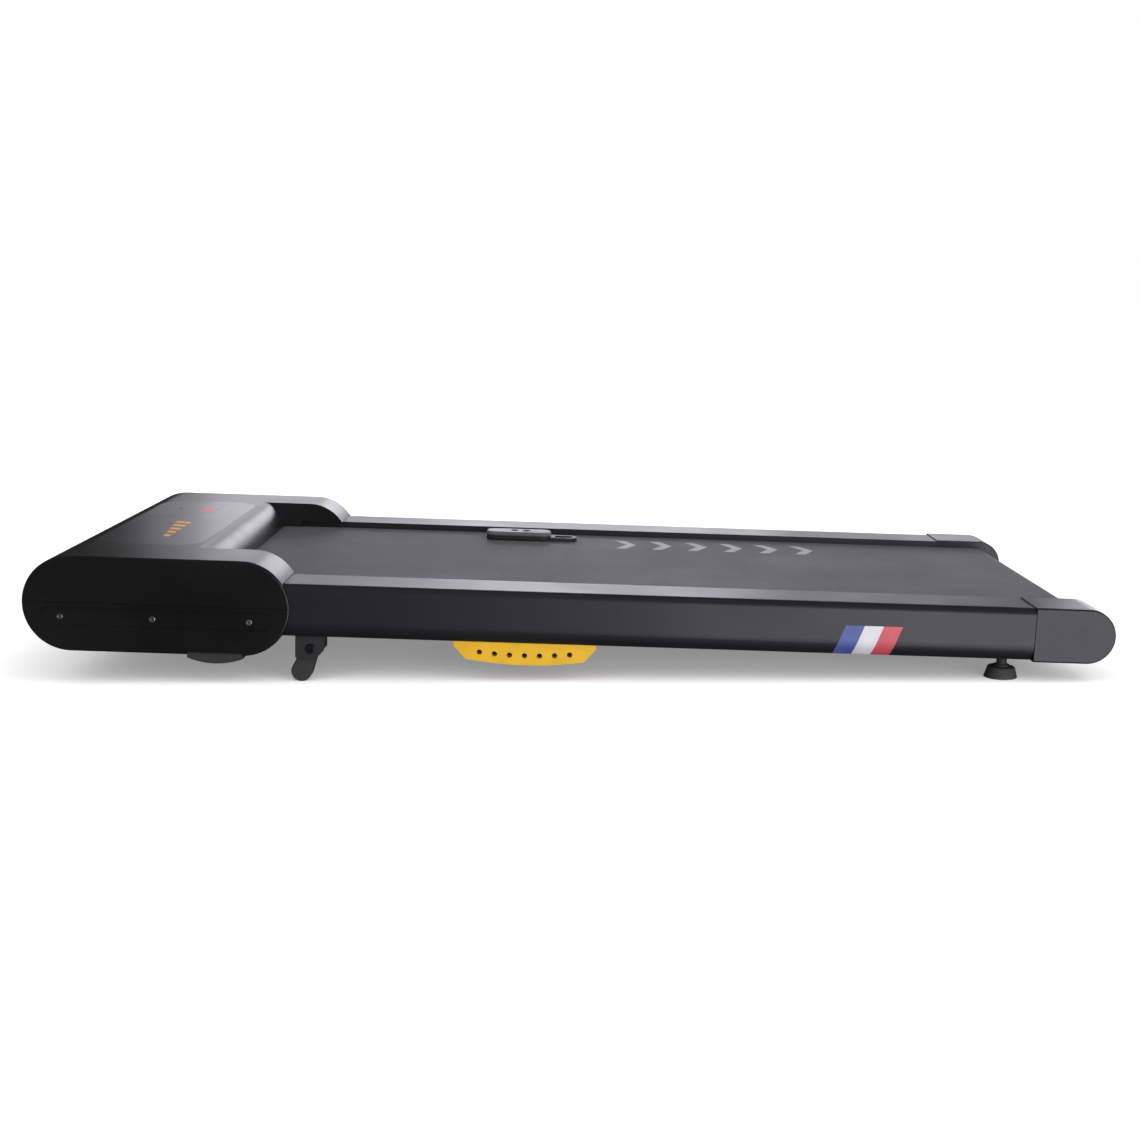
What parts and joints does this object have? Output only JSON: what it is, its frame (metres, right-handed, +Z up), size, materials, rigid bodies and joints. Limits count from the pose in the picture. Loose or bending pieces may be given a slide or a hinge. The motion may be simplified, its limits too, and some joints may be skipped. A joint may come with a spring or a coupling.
{
  "type": "walking pad treadmill",
  "caption": "Low motorised treadmill with a stadium-shaped motor hood, running belt between side rails, fold-down incline legs, levelling feet and a hand remote.",
  "frame": {"origin": "middle of the whole treadmill's bounding box, on the floor", "axes": "+X from the motor hood to the rear end, level; +Y to the right of a walker who faces the hood; +Z up. The deck is tilted hood end up about Y."},
  "size_m": [1.2592, 0.579, 0.1515],
  "materials": {
    "hood_plastic": "satin black moulded",
    "display_plastic": "smoked gloss",
    "rail_paint": "satin dark grey coat",
    "cap_plastic": "fine texture",
    "belt_cover": "woven-texture PVC",
    "deck_board": "waxed fibreboard",
    "frame_paint": "black powder coat",
    "black_rubber": "matte",
    "yellow_elastomer": "matte yellow",
    "bright_steel": "turned or zinc plated",
    "cast_aluminium": "die cast",
    "magnet_ferrite": "sintered ferrite",
    "circuit_board": "solder mask",
    "black_plastic": "moulded",
    "red_plastic": "moulded red",
    "white_plastic": "moulded white",
    "pin_brass": "nickel-plated brass",
    "remote_grey": "fine texture",
    "remote_key": "soft-touch"
  },
  "bodies": {
    "root": {"hood_upper_cover": "hood_plastic", "hood_lower_cover": "hood_plastic", "display_window": "display_plastic", "side_rail_left": "rail_paint", "side_rail_right": "rail_paint", "rear_end_cap_left": "cap_plastic", "rear_end_cap_right": "cap_plastic", "running_belt": "belt_cover", "deck_board": "deck_board", "side_tube_left": "frame_paint", "side_tube_right": "frame_paint", "motor_bay_side_plates": "frame_paint", "motor_bay_floor": "frame_paint", "rear_axle_brackets": "frame_paint", "deck_cross_beams": "frame_paint", "motor_mount": "frame_paint", "leg_brackets": "frame_paint", "inlet_panel": "frame_paint", "motor_housing": "frame_paint", "deck_isolators": "black_rubber", "skid_pads": "black_rubber", "drive_belt": "black_rubber", "elastomer_bumpers": "yellow_elastomer", "deck_screws": "bright_steel", "rail_and_cap_screws": "bright_steel", "front_axle": "bright_steel", "front_axle_bolts": "bright_steel", "tension_bolts": "bright_steel", "motor_bearings": "bright_steel", "hood_screws": "bright_steel", "leg_pivot_bolts": "bright_steel", "motor_end_bells": "cast_aluminium", "controller_heatsink": "cast_aluminium", "motor_magnets": "magnet_ferrite", "controller_board": "circuit_board", "display_board": "circuit_board", "power_inlet": "black_plastic", "switch_housing": "black_plastic", "breaker_body": "black_plastic", "inlet_pins": "pin_brass"},
    "front_roller": {"front_roller": "bright_steel", "front_roller_bearings": "bright_steel", "driven_pulley": "cast_aluminium"},
    "rear_axle": {"rear_axle": "bright_steel"},
    "rear_roller": {"rear_roller": "bright_steel", "rear_roller_bearings": "bright_steel"},
    "motor_rotor": {"motor_rotor": "bright_steel", "motor_pulley": "cast_aluminium", "motor_fan": "black_plastic"},
    "incline_leg_left": {"incline_leg_left": "black_rubber"},
    "incline_leg_right": {"incline_leg_right": "black_rubber"},
    "rear_foot_left": {"levelling_foot_left": "black_rubber"},
    "rear_foot_right": {"levelling_foot_right": "black_rubber"},
    "power_rocker": {"power_rocker": "red_plastic"},
    "breaker_button": {"breaker_button": "white_plastic"},
    "remote": {"remote_base": "black_plastic", "remote_top": "remote_grey", "remote_battery": "bright_steel"},
    "remote_start_button": {"remote_start_button": "remote_key"},
    "remote_speed_button": {"remote_speed_button": "remote_key"}
  },
  "joints": [
    {"name": "front_roller_spin", "type": "hinge", "parent": "root", "child": "front_roller", "pos_m": [-0.45979, 0, 0.08946], "axis": [0, 1, 0], "continuous": true},
    {"name": "motor_spin", "type": "hinge", "parent": "root", "child": "motor_rotor", "pos_m": [-0.54966, 0, 0.09501], "axis": [0, 1, 0], "continuous": true},
    {"name": "belt_tension", "type": "slide", "parent": "root", "child": "rear_axle", "axis": [0.9994, 0, -0.0339], "range_m": [-0.006, 0]},
    {"name": "rear_roller_spin", "type": "hinge", "parent": "rear_axle", "child": "rear_roller", "pos_m": [0.5906, 0, 0.05388], "axis": [0, 1, 0], "continuous": true},
    {"name": "power_switch", "type": "hinge", "parent": "root", "child": "power_rocker", "pos_m": [-0.61018, 0.213, 0.08055], "axis": [0.0339, 0, 0.9994], "range_deg": [-18, 0]},
    {"name": "breaker_reset", "type": "slide", "parent": "root", "child": "breaker_button", "axis": [-0.9994, 0, 0.0339], "range_m": [0, 0.004]},
    {"name": "remote_lift", "type": "slide", "parent": "root", "child": "remote", "axis": [0.0339, 0, 0.9994], "range_m": [0, 0.3]},
    {"name": "incline_leg_left_fold", "type": "hinge", "parent": "root", "child": "incline_leg_left", "pos_m": [-0.30218, -0.2615, 0.0399], "axis": [0, -1, 0], "range_deg": [0, 111]},
    {"name": "incline_leg_right_fold", "type": "hinge", "parent": "root", "child": "incline_leg_right", "pos_m": [-0.30218, 0.2615, 0.0399], "axis": [0, -1, 0], "range_deg": [0, 111]},
    {"name": "rear_foot_left_height", "type": "slide", "parent": "root", "child": "rear_foot_left", "axis": [0.0339, 0, 0.9994], "range_m": [-0.01, 0]},
    {"name": "rear_foot_right_height", "type": "slide", "parent": "root", "child": "rear_foot_right", "axis": [0.0339, 0, 0.9994], "range_m": [-0.01, 0]},
    {"name": "remote_start_press", "type": "slide", "parent": "remote", "child": "remote_start_button", "axis": [-0.0339, 0, -0.9994], "range_m": [0, 0.0006], "stiffness_N_per_m": 300},
    {"name": "remote_speed_press", "type": "slide", "parent": "remote", "child": "remote_speed_button", "axis": [-0.0339, 0, -0.9994], "range_m": [0, 0.0006], "stiffness_N_per_m": 300}
  ],
  "couplings": [
    {"joint": "motor_spin", "follows": "front_roller_spin", "ratio": 2.9231},
    {"joint": "rear_roller_spin", "follows": "front_roller_spin", "ratio": 1}
  ]
}
